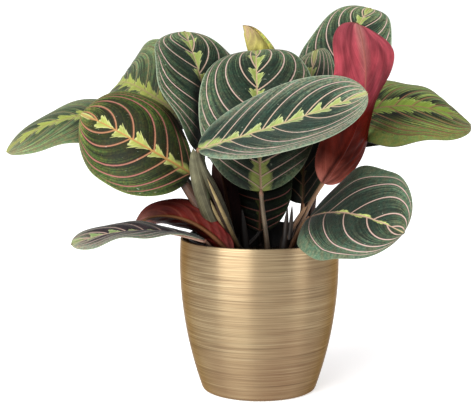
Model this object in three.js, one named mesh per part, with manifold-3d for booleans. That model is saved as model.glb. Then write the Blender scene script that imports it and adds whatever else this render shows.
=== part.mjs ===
// A potted prayer plant: a gold outer pot, the black nursery pot in it, soil, stalks and leaves.
// Millimetres, +Z up, the camera of the picture looks along +Y, the pot stands on z = 0.
import * as THREE from 'three';
import Module from 'manifold-3d';

// outer pot: a wide barrel, widest a little under the rim
const potHeight = 125;
const potWidestRadius = 64.95;
const potWidestHeight = 106;
const potCurve = 0.00166;
const potWall = 1.6;
const potFloor = 2.4;
const potSides = 40;

// nursery pot: a plain tapered cup that stands a little askew in the outer pot
const innerHeight = 122;
const innerFootRadius = 42;
const innerRimRadius = 56.8;
const innerLip = 1.2;
const innerLipHeight = 7;
const innerWall = 1.2;
const innerFloor = 1.6;
const innerLift = 5.8;
const innerTilt = 4;
const innerShift = 4.2;
const innerSides = 36;

// soil in the nursery pot
const soilTop = 106;
const soilDome = 2.5;
const gap = 0.35;

// leaf blades
const bladeThickness = 0.8;
const bladeRows = 10;
const bladeColumns = 3;

// stalks
const stalkSides = 7;
const stalkSteps = 7;
const crownDepth = 8;

const shoots = {
  left: { at: [-17, -22], radius: 6.5 },
  front: { at: [-33, -36], radius: 3.8 },
  low: { at: [-18, -4], radius: 5.5 },
  middle: { at: [7, -22], radius: 4.5 },
  right: { at: [22, -20], radius: 6 },
  back_left: { at: [-42, 11], radius: 5.5 },
  back_right: { at: [35, 13], radius: 6 },
  back: { at: [4, 37], radius: 6 },
};

// Each leaf: where its blade starts, where it heads seen from above (0 right, 90 away, degrees),
// how steeply it rises and how far it droops, its size, and how its blade is rolled, folded and waved.
// fold, curl: left half, right half. pinch: side, degrees, where, how wide.
// stalk: the shift of its foot in the crown, how far it runs upright, how far it runs along the blade,
// the radius at the foot, how much a sheath swells it.
const leaves = [
  { name: 'front', shoot: 'left', at: [-47.5, -66, 202], stalk: [-2, -2, 45, 10, 3.4, 1.6],
    heading: -3, turn: 1, rise: 16, droop: -5, bend: 1, length: 136, width: 86,
    roll: 26, twist: 16, fold: [12, 15], curl: [-15, -14], wave: 0.3, phase: 0 },
  { name: 'left', shoot: 'left', at: [-54, -25, 179.5], stalk: [-3, 0, 35, 18, 2.6, 0.3],
    heading: 195, turn: -69, rise: 31, droop: 24, bend: 2.3, length: 115, width: 84,
    roll: -57, twist: -4, fold: [5, 6], curl: [-41, -37], wave: 1.5, phase: 0.2 },
  { name: 'far_left', shoot: 'back_left', at: [-93, 35, 224], stalk: [-2, 1, 60, 30, 2.4, 0],
    heading: 185, turn: -6, rise: 3, droop: 50, bend: 1.7, length: 128, width: 74,
    roll: -28, twist: 6, fold: [5, 5], curl: [-28, -26], wave: 1.7, phase: 0.1 },
  { name: 'upper_left', shoot: 'low', at: [-45.5, 20, 193], stalk: [-2, 0, 40, 25, 2.6, 0.3],
    heading: 144, turn: -34, rise: 104, droop: 69, bend: 1, length: 114, width: 88,
    roll: 19, twist: -12, fold: [9, 15], curl: [-32, -16], wave: 3.3, phase: -0.2 },
  { name: 'centre', shoot: 'middle', at: [1, -22, 165], stalk: [0, -1, 20, 20, 2.4, 0],
    heading: 100, turn: -12, rise: 74, droop: 74, bend: 3.2, length: 142, width: 96,
    roll: -4, twist: 0, fold: [11, 12], curl: [-24, -22], wave: 1.6, phase: 0 },
  { name: 'upper_right', shoot: 'back_right', at: [57.5, 75, 199.5], stalk: [1, 2, 50, 30, 2.6, 0],
    heading: 45, turn: 10, rise: 68, droop: 42, bend: 3.1, length: 140, width: 83,
    roll: -2, twist: 10, fold: [20, 11], curl: [-10, -24], wave: 3.3, phase: 0.3 },
  { name: 'pink', shoot: 'right', at: [50, -18, 171.5], stalk: [2, 0, 25, 14, 2.4, 0],
    heading: 6, turn: -71, rise: 55, droop: -66, bend: 1.6, length: 138, width: 74, widest: 0.8,
    roll: -54, twist: 94, fold: [-12, 9], curl: [-9, 18], pinch: [0, 70, 0.42, 0.2],
    wave: 3.4, phase: 0 },
  { name: 'right', shoot: 'back_right', at: [72.5, 36, 220.5], stalk: [2, -1, 60, 30, 2.4, 0],
    heading: -24, turn: 42, rise: 25, droop: 56, bend: 1, length: 112, width: 94,
    roll: 41, twist: -19, fold: [9, 6], curl: [-33, -26], wave: 2.4, phase: -0.2 },
  { name: 'lower_right', shoot: 'right', at: [38, -44, 147], stalk: [0, -2, 15, 12, 2.4, 0],
    heading: -66, turn: 16, rise: 18, droop: 35, bend: 1, length: 119, width: 85,
    roll: 32, twist: 9, fold: [18, 9], curl: [-5, -42], wave: -2.5, phase: 0.1 },
  { name: 'red_arch', shoot: 'front', at: [-23.5, -43, 116], stalk: [0, 0, 4, 6, 2.2, 0],
    heading: 174, turn: -42, rise: 58, droop: 95, bend: 1, length: 104, width: 32, widest: 0.4,
    roll: 90, twist: -24, fold: [24, 20], curl: [30, 40], wave: 3, phase: 0.3 },
  { name: 'low_left', shoot: 'front', at: [-43, -42, 128.5], stalk: [-1, 0, 6, 6, 2.2, 0],
    heading: 169, turn: 17, rise: 17, droop: 39, bend: 1, length: 110, width: 48, widest: 0.62,
    roll: 3, twist: -32, fold: [25, 20], curl: [-36, -53], wave: 2.4, phase: 0 },
  { name: 'low_centre', shoot: 'low', at: [0.5, 4, 128.5], stalk: [1, 1, 12, 5, 2.2, 0],
    heading: 88, turn: -10, rise: 80, droop: 20, bend: 1.7, length: 78, width: 53, widest: 0.57,
    roll: -8, twist: 5, fold: [8, 5], curl: [-20, -18], wave: 1.8, phase: -0.1 },
  { name: 'narrow', shoot: 'right', at: [36, 14, 151], stalk: [1, 3, 15, 15, 2.2, 0],
    heading: 84, turn: -12, rise: 70, droop: 24, bend: 2.2, length: 145, width: 70,
    roll: -17, twist: 2, fold: [9, 18], curl: [-20, 6], wave: 2, phase: 0.1 },
  { name: 'olive', shoot: 'back_left', at: [-58, 40, 218], stalk: [0, 2, 50, 15, 2.4, 0],
    heading: 154, turn: -50, rise: 29, droop: 53, bend: 2.1, length: 125, width: 99,
    roll: -71, twist: 28, fold: [2, 6], curl: [-12, -3], wave: 3, phase: 0.4 },
  { name: 'spear', shoot: 'back', at: [7, 48, 236], stalk: [1, -3, 50, 12, 2.4, 0],
    heading: 147, turn: 11, rise: 65, droop: -15, bend: 2.1, length: 67, width: 45,
    roll: 22, twist: 9, fold: [60, 55], curl: [90, 72], wave: 0.6, phase: -0.1 },
  { name: 'dark_red', shoot: 'low', at: [-21.5, -6, 121], stalk: [-1, -3, 8, 6, 2.2, 0],
    heading: 180, turn: 0, rise: 84, droop: 12, bend: 1.5, length: 72, width: 23,
    roll: 90, twist: 0, fold: [16, 16], curl: [20, 20], wave: 1.6, phase: 0.3 },
  { name: 'back_high', shoot: 'back', at: [-8, 60, 205], stalk: [0, 1, 50, 30, 2.4, 0],
    heading: 102, turn: 6, rise: 50, droop: 82, bend: 1.5, length: 116, width: 80,
    roll: 0, twist: 0, fold: [10, 10], curl: [-28, -26], wave: 2, phase: 0.2 },
  { name: 'back_low', shoot: 'back', at: [-4, 66, 160], stalk: [0, 2, 20, 20, 2.4, 0],
    heading: 92, turn: 10, rise: 34, droop: 60, bend: 1.3, length: 108, width: 74,
    roll: 6, twist: 0, fold: [10, 12], curl: [-30, -26], wave: 2.2, phase: 0.6 },
  { name: 'back_left_low', shoot: 'back_left', at: [-66, 44, 176], stalk: [-1, 3, 30, 25, 2.4, 0],
    heading: 138, turn: 10, rise: 30, droop: 66, bend: 1.4, length: 104, width: 72,
    roll: -10, twist: 0, fold: [10, 12], curl: [-30, -26], wave: 2, phase: 0.1 },
  { name: 'back_left_high', shoot: 'back', at: [-34, 60, 222], stalk: [-2, 0, 60, 35, 2.4, 0],
    heading: 118, turn: 10, rise: 48, droop: 70, bend: 1.4, length: 108, width: 76,
    roll: -6, twist: 0, fold: [10, 12], curl: [-30, -26], wave: 2, phase: 0.4 },
  { name: 'back_right_high', shoot: 'back', at: [22, 82, 195], stalk: [2, 0, 50, 30, 2.4, 0],
    heading: 72, turn: -10, rise: 40, droop: 70, bend: 1.4, length: 104, width: 72,
    roll: 6, twist: 0, fold: [12, 10], curl: [-26, -30], wave: 2, phase: 0.7 },
  { name: 'back_right_low', shoot: 'back_right', at: [74, 52, 196], stalk: [1, 3, 40, 30, 2.4, 0],
    heading: 38, turn: -12, rise: 26, droop: 55, bend: 1.4, length: 100, width: 70,
    roll: 8, twist: 0, fold: [12, 10], curl: [-26, -30], wave: 2, phase: 0.9 },
];

const rad = (degrees) => degrees * Math.PI / 180;
const add = (a, b, k = 1) => [a[0] + b[0] * k, a[1] + b[1] * k, a[2] + b[2] * k];
const cross = (a, b) => [a[1] * b[2] - a[2] * b[1], a[2] * b[0] - a[0] * b[2], a[0] * b[1] - a[1] * b[0]];
const unit = (a) => {
  const l = Math.hypot(...a);
  return [a[0] / l, a[1] / l, a[2] / l];
};

function direction(leaf, s) {
  const a = rad(leaf.heading + leaf.turn * s);
  const e = rad(leaf.rise - leaf.droop * s ** leaf.bend);
  return [Math.cos(e) * Math.cos(a), Math.cos(e) * Math.sin(a), Math.sin(e)];
}

function midrib(leaf, s) {
  let p = leaf.at;
  for (let k = 0; k < 24; k += 1) {
    p = add(p, direction(leaf, (k + 0.5) / 24 * s), leaf.length * s / 24);
  }
  return p;
}

// half the outline's width, 0 at the base, 1 where it is widest, with a small point at the tip
function outline(leaf, s) {
  const m = leaf.widest ?? 0.48;
  const b = Math.min(s / 0.982, 1);
  const u = b < m ? (m - b) / m : (b - m) / (1 - m);
  const f = Math.sqrt(Math.max(0, 1 - Math.abs(u) ** 2.15));
  return Math.max(f, s > 0.97 ? 2 * (1 - s) : 0);
}

// a point of the blade and the way its upper face looks there
function bladePoint(leaf, s, v) {
  const t = direction(leaf, s);
  const a = rad(leaf.heading + leaf.turn * s);
  const level = [-Math.sin(a), Math.cos(a), 0];
  const up = cross(t, level);
  const r = rad(leaf.roll + leaf.twist * s);
  const across = add(level.map((x) => x * Math.cos(r)), up, Math.sin(r));
  const normal = add(up.map((x) => x * Math.cos(r)), level, -Math.sin(r));
  const side = v >= 0 ? 1 : -1;
  const half = v >= 0 ? 0 : 1;
  const fold = rad(leaf.fold[half]);
  let curl = rad(leaf.curl[half]);
  if (leaf.pinch && leaf.pinch[0] === half) {
    curl += rad(leaf.pinch[1]) * Math.exp(-(((s - leaf.pinch[2]) / leaf.pinch[3]) ** 2));
  }
  const w = Math.max(outline(leaf, s) * leaf.width / 2, s < 0.5 ? 1.2 : 0.5);
  const bent = fold + curl * Math.abs(v);
  const x = (Math.sin(bent) - Math.sin(fold)) / curl;
  const y = (Math.cos(fold) - Math.cos(bent)) / curl;
  const wave = leaf.wave * v * v * Math.sin(Math.PI * 2 * (2 * s + leaf.phase + 0.25 * half))
    * Math.sin(Math.PI * s);
  const p = add(add(midrib(leaf, s), across, side * x * w), normal, y * w + wave);
  const n = v === 0 ? normal : add(normal.map((c) => c * Math.cos(bent)), across, -side * Math.sin(bent));
  return [p, n];
}

// a blade: upper and lower skins with the same triangles, joined by a rim
function bladeMesh(leaf) {
  const rows = [];
  for (let i = 0; i <= bladeRows; i += 1) {
    rows.push(0.982 * (1 - Math.cos(Math.PI * i / bladeRows)) / 2);
  }
  rows.push(1);
  const wide = bladeColumns * 2 + 1;
  const points = [];
  for (const face of [0.5, -0.5]) {
    for (const s of rows) {
      for (let j = -bladeColumns; j <= bladeColumns; j += 1) {
        const [p, n] = bladePoint(leaf, s, j / bladeColumns);
        points.push(add(p, n, bladeThickness * face));
      }
    }
  }
  const at = (face, i, j) => (face * rows.length + i) * wide + j;
  const faces = [];
  const quad = (a, b, c, d) => faces.push([a, b, c], [a, c, d]);
  for (let i = 0; i + 1 < rows.length; i += 1) {
    for (let j = 0; j + 1 < wide; j += 1) {
      if (j < bladeColumns) {
        faces.push([at(0, i, j), at(0, i + 1, j), at(0, i + 1, j + 1)]);
        faces.push([at(0, i, j), at(0, i + 1, j + 1), at(0, i, j + 1)]);
        faces.push([at(1, i, j), at(1, i + 1, j + 1), at(1, i + 1, j)]);
        faces.push([at(1, i, j), at(1, i, j + 1), at(1, i + 1, j + 1)]);
      } else {
        faces.push([at(0, i, j), at(0, i + 1, j), at(0, i, j + 1)]);
        faces.push([at(0, i + 1, j), at(0, i + 1, j + 1), at(0, i, j + 1)]);
        faces.push([at(1, i, j), at(1, i, j + 1), at(1, i + 1, j)]);
        faces.push([at(1, i + 1, j), at(1, i, j + 1), at(1, i + 1, j + 1)]);
      }
    }
    quad(at(1, i, 0), at(1, i + 1, 0), at(0, i + 1, 0), at(0, i, 0));
    quad(at(0, i, wide - 1), at(0, i + 1, wide - 1), at(1, i + 1, wide - 1), at(1, i, wide - 1));
  }
  const last = rows.length - 1;
  for (let j = 0; j + 1 < wide; j += 1) {
    quad(at(0, 0, j), at(0, 0, j + 1), at(1, 0, j + 1), at(1, 0, j));
    quad(at(1, last, j), at(1, last, j + 1), at(0, last, j + 1), at(0, last, j));
  }
  return [points, faces];
}

// a round tube along a line of points
function tubeMesh(line, radii, sides) {
  const points = [];
  const faces = [];
  let side = null;
  for (let i = 0; i < line.length; i += 1) {
    const t = unit(add(line[Math.min(i + 1, line.length - 1)], line[Math.max(i - 1, 0)], -1));
    side = side ? unit(add(side, t, -(side[0] * t[0] + side[1] * t[1] + side[2] * t[2]))) : unit(cross(t, [0, 1, 0]));
    const other = cross(t, side);
    for (let k = 0; k < sides; k += 1) {
      const a = Math.PI * 2 * k / sides;
      points.push(add(add(line[i], side, Math.cos(a) * radii[i]), other, Math.sin(a) * radii[i]));
    }
  }
  for (let i = 0; i + 1 < line.length; i += 1) {
    for (let k = 0; k < sides; k += 1) {
      const l = (k + 1) % sides;
      faces.push([i * sides + k, i * sides + l, (i + 1) * sides + l]);
      faces.push([i * sides + k, (i + 1) * sides + l, (i + 1) * sides + k]);
    }
  }
  const end = (line.length - 1) * sides;
  for (let k = 1; k + 1 < sides; k += 1) {
    faces.push([0, k + 1, k]);
    faces.push([end, end + k, end + k + 1]);
  }
  return [points, faces];
}

// a stalk from its crown to its blade, level with the midrib where they meet
function stalkLine(leaf) {
  const shoot = shoots[leaf.shoot];
  const [dx, dy, upright, along] = leaf.stalk;
  const t = direction(leaf, 0);
  const foot = [shoot.at[0] + dx, shoot.at[1] + dy, soilTop - 2];
  const guide = [foot, add(foot, [0, 0, upright]), add(leaf.at, t, -along), add(leaf.at, t, -0.7)];
  const line = [];
  const radii = [];
  for (let i = 0; i <= stalkSteps; i += 1) {
    const u = i / stalkSteps;
    const parts = [(1 - u) ** 3, 3 * (1 - u) ** 2 * u, 3 * (1 - u) * u * u, u ** 3];
    let p = [0, 0, 0];
    guide.forEach((g, k) => {
      p = add(p, g, parts[k]);
    });
    line.push(p);
    radii.push(1.35 + (leaf.stalk[4] - 1.35) * (1 - u) ** 0.8
      + leaf.stalk[5] * Math.exp(-(((u - 0.5) / 0.22) ** 2)));
  }
  return [line, radii];
}

// a solid of revolution about Z from a closed outline of [radius, height]
function turned(profile, sides) {
  const points = [];
  const faces = [];
  const ring = [];
  for (const [r, z] of profile) {
    if (r === 0) {
      ring.push([points.length]);
      points.push([0, 0, z]);
    } else {
      const row = [];
      for (let k = 0; k < sides; k += 1) {
        const a = Math.PI * 2 * k / sides;
        row.push(points.length);
        points.push([r * Math.cos(a), r * Math.sin(a), z]);
      }
      ring.push(row);
    }
  }
  for (let i = 0; i + 1 < ring.length; i += 1) {
    for (let k = 0; k < sides; k += 1) {
      const l = (k + 1) % sides;
      const a = ring[i];
      const b = ring[i + 1];
      if (a.length > 1) {
        faces.push([a[k], a[l], b.length > 1 ? b[l] : b[0]]);
      }
      if (b.length > 1) {
        faces.push([a.length > 1 ? a[k] : a[0], b[l], b[k]]);
      }
    }
  }
  return [points, faces];
}

function potRadius(z) {
  return potWidestRadius - potCurve * (z - potWidestHeight) ** 2;
}

function potProfile() {
  const profile = [[0, 0], [potRadius(0) - 2.2, 0], [potRadius(0) - 0.7, 0.5], [potRadius(2.2), 2.2]];
  for (const z of [12, 24, 37, 50, 63, 76, 89, 102, 114]) {
    profile.push([potRadius(z), z]);
  }
  profile.push([potRadius(potHeight - 0.9), potHeight - 0.9]);
  profile.push([potRadius(potHeight) - 0.4, potHeight]);
  profile.push([potRadius(potHeight) - potWall + 0.4, potHeight]);
  for (const z of [potHeight - 0.9, 114, 100, 84, 68, 52, 36, 20, 7]) {
    profile.push([potRadius(z) - potWall, z]);
  }
  profile.push([potRadius(7) - potWall - 4, potFloor]);
  profile.push([0, potFloor]);
  return profile;
}

function innerRadius(z) {
  return innerFootRadius + (innerRimRadius - innerFootRadius) * z / innerHeight;
}

function innerProfile() {
  const low = innerHeight - innerLipHeight;
  return [
    [0, 0],
    [innerFootRadius - 1.5, 0],
    [innerRadius(1.5), 1.5],
    [innerRadius(low), low],
    [innerRadius(low) + innerLip, low + 0.6],
    [innerRimRadius + innerLip, innerHeight - 0.5],
    [innerRimRadius + innerLip - 0.5, innerHeight],
    [innerRimRadius - innerWall + 0.5, innerHeight],
    [innerRadius(low) - innerWall, low],
    [innerRadius(4) - innerWall, 4],
    [innerRadius(4) - innerWall - 2.4, innerFloor],
    [0, innerFloor],
  ];
}

function soilProfile() {
  const level = soilTop - innerLift;
  const r = (z) => innerRadius(z) - innerWall - gap;
  return [
    [0, innerFloor + gap],
    [r(4) - 2.4, innerFloor + gap],
    [r(4), 4 + gap],
    [r(50), 50],
    [r(level - 1), level - 1],
    [r(level) - 2, level + 0.2],
    [r(level) - 14, level + soilDome * 0.4],
    [r(level) - 32, level + soilDome * 0.8],
    [0, level + soilDome],
  ];
}

const lean = new THREE.Matrix4().makeRotationX(rad(innerTilt)).setPosition(0, innerShift, innerLift);
const leant = ([points, faces]) => [points.map((p) => new THREE.Vector3(...p).applyMatrix4(lean).toArray()), faces];

const wasm = await Module();
wasm.setup();

function solid([points, faces]) {
  return new wasm.Manifold(new wasm.Mesh({
    numProp: 3,
    vertProperties: new Float32Array(points.flat()),
    triVerts: new Uint32Array(faces.flat()),
  }));
}

function meshOf(body) {
  const mesh = body.getMesh();
  const points = [];
  for (let i = 0; i < mesh.vertProperties.length; i += mesh.numProp) {
    points.push([...mesh.vertProperties.slice(i, i + 3)]);
  }
  const faces = [];
  for (let i = 0; i < mesh.triVerts.length; i += 3) {
    faces.push([...mesh.triVerts.slice(i, i + 3)]);
  }
  return [points, faces];
}

const group = new THREE.Group();
group.name = 'potted_prayer_plant';

function piece(name, [points, faces], colour, roughness, metalness) {
  const geometry = new THREE.BufferGeometry();
  geometry.setAttribute('position', new THREE.BufferAttribute(new Float32Array(points.flat()), 3));
  geometry.setIndex(faces.flat());
  geometry.computeVertexNormals();
  const mesh = new THREE.Mesh(geometry, new THREE.MeshStandardMaterial({ color: colour, roughness, metalness }));
  mesh.name = name;
  group.add(mesh);
}

piece('pot', turned(potProfile(), potSides), 0xb9945f, 0.35, 0.9);
piece('nursery_pot', leant(turned(innerProfile(), innerSides)), 0x15151a, 0.6, 0);

let soil = solid(leant(turned(soilProfile(), innerSides)));
for (const [name, shoot] of Object.entries(shoots)) {
  const [x, y] = shoot.at;
  const crown = [[x, y, soilTop - crownDepth], [x, y, soilTop + 2], [x, y, soilTop + 9]];
  let body = solid(tubeMesh(crown, [shoot.radius, shoot.radius, shoot.radius * 0.55], 10));
  for (const leaf of leaves.filter((l) => l.shoot === name)) {
    body = body.add(solid(tubeMesh(...stalkLine(leaf), stalkSides)));
  }
  const hole = [[x, y, soilTop - crownDepth - gap], [x, y, soilTop + 20]];
  soil = soil.subtract(solid(tubeMesh(hole, [shoot.radius + 0.5, shoot.radius + 0.5], 12)));
  piece(`shoot_${name}`, meshOf(body), 0x6f7350, 0.6, 0);
}
piece('soil', meshOf(soil), 0x241a14, 0.95, 0);

for (const leaf of leaves) {
  piece(`leaf_${leaf.name}`, bladeMesh(leaf), leaf.name === 'spear' ? 0xa6b04e : 0x2c4a36, 0.5, 0);
}

export default group;
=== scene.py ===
# Potted prayer plant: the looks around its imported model. Metres, +Z up, the pot stands on z = 0.
import math
import random
from functools import partial

import bpy
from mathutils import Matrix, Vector, noise


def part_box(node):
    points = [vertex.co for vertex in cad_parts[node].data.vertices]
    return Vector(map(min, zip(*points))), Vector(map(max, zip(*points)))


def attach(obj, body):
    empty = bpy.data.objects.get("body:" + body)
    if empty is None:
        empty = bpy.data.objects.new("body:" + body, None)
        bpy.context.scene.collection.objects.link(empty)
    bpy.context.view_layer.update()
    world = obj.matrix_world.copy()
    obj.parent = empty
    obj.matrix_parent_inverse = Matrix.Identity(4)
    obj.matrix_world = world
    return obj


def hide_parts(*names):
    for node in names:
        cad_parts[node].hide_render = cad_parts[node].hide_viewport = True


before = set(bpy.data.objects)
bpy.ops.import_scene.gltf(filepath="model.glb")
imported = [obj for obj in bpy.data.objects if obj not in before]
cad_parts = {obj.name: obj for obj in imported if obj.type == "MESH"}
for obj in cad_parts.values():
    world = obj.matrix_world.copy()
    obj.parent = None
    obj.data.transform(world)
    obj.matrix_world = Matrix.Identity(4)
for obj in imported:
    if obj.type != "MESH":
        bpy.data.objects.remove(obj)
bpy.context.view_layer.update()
mm = 0.001


# small helpers

def deselectAll():
    if bpy.context.mode != "OBJECT":
        bpy.ops.object.mode_set(mode="OBJECT")
    bpy.ops.object.select_all(action="DESELECT")


def colour(code):
    # sRGB hex to linear
    parts = [int(code[i:i + 2], 16) / 255 for i in (0, 2, 4)]
    return [p / 12.92 if p <= 0.04045 else ((p + 0.055) / 1.055) ** 2.4 for p in parts] + [1.0]


def setSockets(node, inputs):
    # inputs by their order or name: a number, a colour code, a socket, or a node whose first live output
    # is meant
    for socket, value in inputs.items() if isinstance(inputs, dict) else enumerate(inputs):
        if isinstance(value, str):
            value = colour(value)
        if isinstance(value, bpy.types.Node):
            value = next(output for output in value.outputs if output.enabled)
        if isinstance(value, bpy.types.NodeSocket):
            node.id_data.links.new(value, node.inputs[socket])
        else:
            node.inputs[socket].default_value = value


# what most nodes of these kinds are set to
usualSettings = {"Math": {"operation": "MULTIPLY"}, "VectorMath": {"operation": "SCALE"},
                 "Mix": {"data_type": "RGBA"}}


def addNode(tree, kind, inputs=(), **settings):
    made = tree.nodes.new("ShaderNode" + kind)
    for name, value in {**usualSettings.get(kind, {}), **settings}.items():
        setattr(made, name, value)
    setSockets(made, inputs)
    return made


def setRamp(node, stops):
    # stops: the place and colour of each step
    steps = node.color_ramp.elements
    steps.remove(steps[1])
    steps[0].position, steps[0].color = stops[0][0], colour(stops[0][1])
    for at, code in stops[1:]:
        steps.new(at).color = colour(code)


def newMaterial(name):
    # the material, what adds a node to it, and its place on the piece
    material = bpy.data.materials.new(name)
    material.use_nodes = True
    add = partial(addNode, material.node_tree)
    return material, add, add("TexCoord").outputs["Object"]


def setShader(material, inputs):
    setSockets(material.node_tree.nodes["Principled BSDF"], inputs)
    return material


def shadeDeep(add, skin):
    # little of the room's light gets in among the leaves, and what does is browned by their red undersides
    hollow = add("AmbientOcclusion", {"Distance": 0.11}, samples=12)
    depth = add("MapRange", (hollow.outputs["AO"], 0.25, 0.97))
    tint = add("Mix", {0: depth, 6: "5a4638", 7: "ffffff"})
    return add("VectorMath", (skin, tint.outputs[2]), operation="MULTIPLY")


def finishPiece(piece, name, cadNode, slot, *materials):
    piece.name = name
    piece.data.name = name
    for material in materials:
        piece.data.materials.append(material)
    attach(piece, "root")
    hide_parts(cadNode)


def selectOnly(*pieces):
    deselectAll()
    for piece in pieces:
        piece.select_set(True)
    bpy.context.view_layer.objects.active = pieces[0]


def applyPlace(piece):
    selectOnly(piece)
    bpy.ops.object.transform_apply(location=True, rotation=True, scale=True)


def thicken(piece, thickness, offset, **settings):
    selectOnly(piece)
    solid = piece.modifiers.new("thickness", "SOLIDIFY")
    solid.thickness, solid.offset = thickness, offset
    for name, value in settings.items():
        setattr(solid, name, value)
    bpy.ops.object.modifier_apply(modifier=solid.name)


def joinPieces(pieces):
    selectOnly(*pieces)
    bpy.ops.object.join()
    return pieces[0]


def smoothPiece(piece, degrees):
    selectOnly(piece)
    bpy.ops.object.shade_smooth_by_angle(angle=math.radians(degrees))


# camera: level with the leaves, a metre off, as the picture was taken
view = {"place": (-0.019, -1.0, 0.2714), "down": 6.7, "lens": 94.35}

deselectAll()
bpy.ops.object.camera_add(location=view["place"], rotation=(math.radians(90 - view["down"]), 0, 0))
bpy.context.scene.camera = bpy.context.object
bpy.context.object.data.lens = view["lens"]
print("camera placed")


# gold outer pot: spun aluminium under a gold lacquer, the spinning marks run level round it
pot = {
    "sides": 144,
    "wall": 1.6 * mm,
    "floor": 2.4 * mm,
    "curve": 1.66,  # how fast the side curves in, 1/m
    "widestHeight": 106 * mm,
    "ripple": 0.03 * mm,  # depth of the spinning marks
    "rippleStep": 1.4 * mm,
    "seed": 4,
}


def spunGold():
    # spun and brushed metal: its marks run level round it and stretch each reflection upright; the gold
    # lacquer over it is uneven and browned
    material, add, place = newMaterial("brushed aluminium with antique gold lacquer")
    # brush marks under 1 mm apart and 60 mm long, heavier ones 1.4 mm apart and longer, and thin dark
    # scratches 2.5 mm apart
    fine = add("Mapping", {0: place, 3: (14, 14, 1450)})
    fineMarks = add("TexNoise", {0: fine, "Scale": 1, "Detail": 2, "Roughness": 0.7})
    broad = add("Mapping", {0: place, 3: (6, 6, 740)})
    broadMarks = add("TexNoise", {0: broad, "Scale": 1, "Detail": 3, "Roughness": 0.7})
    thin = add("Mapping", {0: place, 1: (0.3, 0.1, 0.2), 3: (7, 7, 640)})
    scratches = add("TexNoise", {0: thin, "Scale": 1, "Detail": 1})
    cloud = add("TexNoise", {0: place, "Scale": 11, "Detail": 3})
    broadShare = add("Math", (broadMarks, 0.2))
    marks = add("Math", (fineMarks, 0.8, broadShare), operation="MULTIPLY_ADD")
    gold = add("ValToRGB", (marks,))
    setRamp(gold, ((0.33, "71604a"), (0.49, "877458"), (0.67, "9c8c6e")))
    brown = add("MapRange", (cloud, 0.4, 0.7, 0, 0.45))
    browned = add("Mix", {0: brown, 6: gold, 7: "6c4a36"})
    scratch = add("MapRange", (scratches, 0.62, 0.7, 0, 0.34))
    scratched = add("Mix", {0: scratch, 6: browned, 7: "44362a"})
    rough = add("MapRange", (marks, 0.35, 0.7, 0.42, 0.3))
    bump = add("Bump", {"Strength": 0.25, "Distance": 0.0003, "Height": marks})
    around = add("Tangent", direction_type="RADIAL", axis="Z")
    return setShader(material, {
        "Base Color": scratched, "Roughness": rough, "Normal": bump, "Tangent": around, "Metallic": 1,
        "Anisotropic": 0.8, "Anisotropic Rotation": 0.25, "Specular Tint": "c8b49c",
        "Coat Weight": 0.08, "Coat Roughness": 0.4})


def faceOutward():
    bpy.ops.object.mode_set(mode="EDIT")
    bpy.ops.mesh.select_all(action="SELECT")
    bpy.ops.mesh.normals_make_consistent(inside=False)
    bpy.ops.object.mode_set(mode="OBJECT")


def growRing(state, height, radius):
    # the selected face is pulled to this height and its ring set to this radius
    bpy.ops.mesh.extrude_region_move(
        TRANSFORM_OT_translate={"value": (0, 0, height - state["height"])})
    grow = radius / state["radius"]
    bpy.ops.transform.resize(value=(grow, grow, 1), center_override=(0, 0, height))
    state["height"], state["radius"] = height, radius


def turnPiece(profile, sides, hub=True):
    # profile: [height, radius], up the outside, over the rim and down the inside; the last face is flat,
    # with a smaller one in it as its hub
    deselectAll()
    height, radius = profile[0]
    bpy.ops.mesh.primitive_circle_add(
        vertices=sides, radius=radius, fill_type="NGON", location=(0, 0, height))
    applyPlace(bpy.context.object)
    bpy.ops.object.mode_set(mode="EDIT")
    bpy.ops.mesh.select_all(action="SELECT")
    state = {"height": height, "radius": radius}
    for height, radius in profile[1:]:
        growRing(state, height, radius)
    if hub:
        bpy.ops.mesh.inset(thickness=radius * 0.5, depth=0)
    faceOutward()
    return bpy.context.object


def potRadius(height):
    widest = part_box("pot")[1].x
    return widest - pot["curve"] * (height - pot["widestHeight"]) ** 2


def makePot():
    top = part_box("pot")[1].z
    draw = random.Random(pot["seed"])
    profile = [[0.0, potRadius(0) - 2.4 * mm], [0.3 * mm, potRadius(0) - 1.2 * mm]]
    profile += [[1.1 * mm, potRadius(1.1 * mm) - 0.3 * mm], [2.4 * mm, potRadius(2.4 * mm)]]
    height = 2.4 * mm + pot["rippleStep"]
    while height < top - 2.2 * mm:
        profile.append([height, potRadius(height) + draw.uniform(-1, 0.4) * pot["ripple"]])
        height += pot["rippleStep"] * draw.uniform(0.75, 1.25)
    rim = potRadius(top)
    profile += [[top - 1.2 * mm, rim + 0.1 * mm], [top - 0.4 * mm, rim], [top, rim - 0.5 * mm]]
    profile += [[top, rim - 1.1 * mm], [top - 0.4 * mm, rim - 1.5 * mm], [top - 1.4 * mm, rim - 1.6 * mm]]
    for step in range(1, 12):
        height = top - 1.4 * mm - (top - 8.4 * mm) * step / 11
        profile.append([height, potRadius(height) - pot["wall"]])
    profile.append([4 * mm, potRadius(4 * mm) - pot["wall"] - 1.6 * mm])
    profile.append([pot["floor"], potRadius(pot["floor"]) - pot["wall"] - 5 * mm])
    made = turnPiece(profile, pot["sides"])
    smoothPiece(made, 40)
    finishPiece(made, "gold_pot", "pot", "gold_pot", spunGold())


makePot()
print("gold pot made")


# nursery pot: thin moulded black polypropylene, a little askew in the gold one
nursery = {
    "sides": 120,
    "height": 122 * mm,
    "footRadius": 42 * mm,
    "rimRadius": 56.8 * mm,
    "wall": 1.2 * mm,
    "lip": 1.2 * mm,
    "lipHeight": 7 * mm,
    "lean": 4.0,  # degrees, the back is up
    "place": (0, 4.2 * mm, 5.8 * mm),
}


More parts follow.
